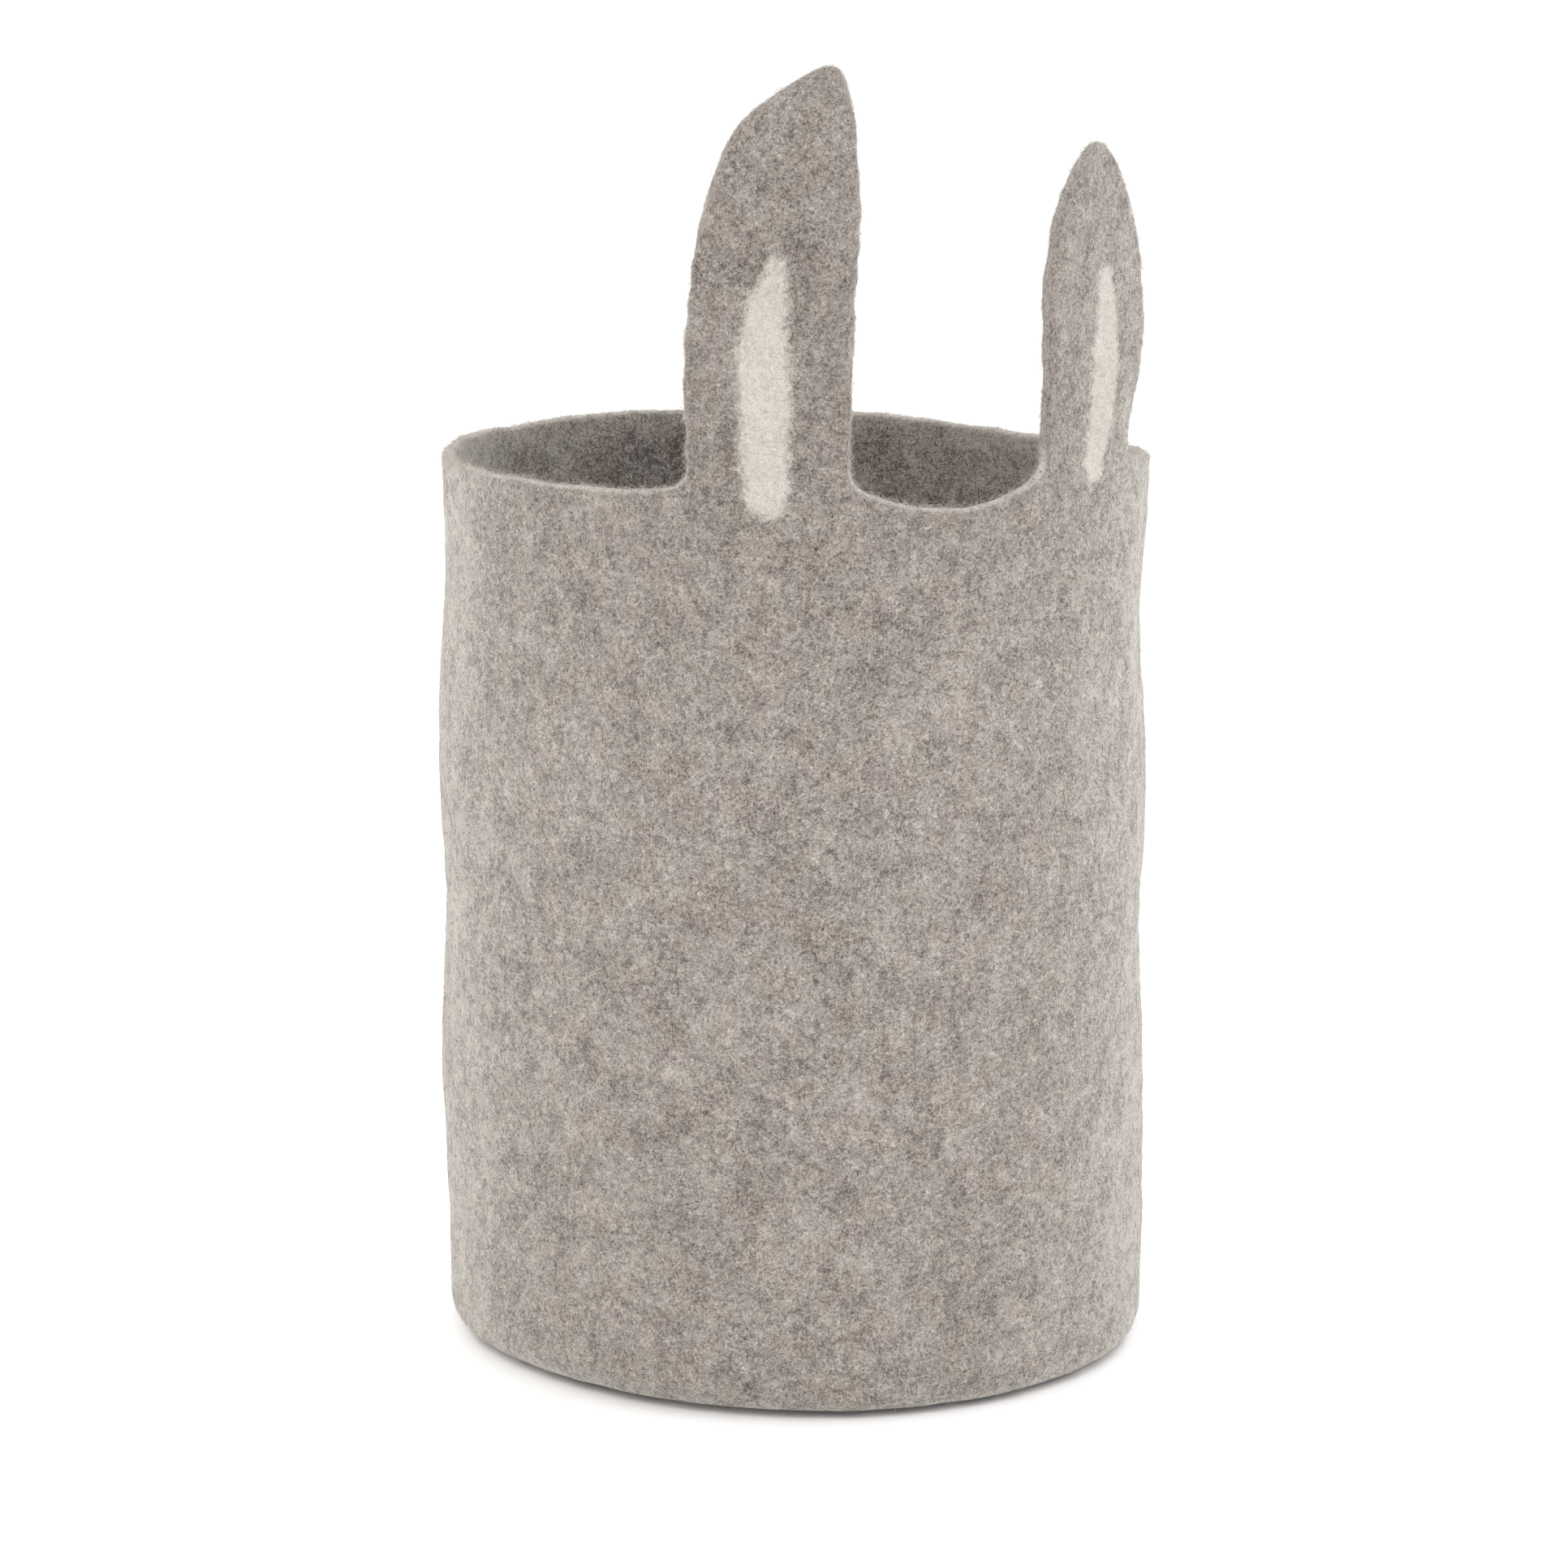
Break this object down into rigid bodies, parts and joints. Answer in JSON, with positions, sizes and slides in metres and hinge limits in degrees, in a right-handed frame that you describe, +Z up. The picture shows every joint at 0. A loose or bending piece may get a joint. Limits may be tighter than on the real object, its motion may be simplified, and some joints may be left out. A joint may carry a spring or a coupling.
{
  "type": "felt storage basket",
  "caption": "Round wet-felted wool storage basket, open at the top, with two standing rabbit ears on the rim that carry cream inner-ear patches.",
  "frame": {"origin": "centre of the basket's underside, on the floor", "axes": "+Z up along the basket's axis; -Y is the front, midway between the two ears; +X is the side of ear_right"},
  "size_m": [0.3, 0.3, 0.548],
  "materials": {
    "grey_felt": "wet-felted wool, light grey-beige melange, fuzzy",
    "white_wool": "cream-white wool felted into the grey surface"
  },
  "bodies": {
    "basket": {"basket_wall": "grey_felt", "basket_base": "grey_felt", "inner_ear_root_left": "white_wool", "inner_ear_root_right": "white_wool"},
    "left_ear": {"ear_left": "grey_felt", "inner_ear_left": "white_wool"},
    "right_ear": {"ear_right": "grey_felt", "inner_ear_right": "white_wool"}
  },
  "joints": [
    {"name": "ear_left_fold", "type": "hinge", "parent": "basket", "child": "left_ear", "pos_m": [-0.07172, -0.12832, 0.394], "axis": [0.8729, -0.4879, 0], "range_deg": [-50, 90], "stiffness_Nm_per_rad": 0.25},
    {"name": "ear_right_fold", "type": "hinge", "parent": "basket", "child": "right_ear", "pos_m": [0.07172, -0.12832, 0.394], "axis": [0.8729, 0.4879, 0], "range_deg": [-50, 90], "stiffness_Nm_per_rad": 0.25}
  ]
}
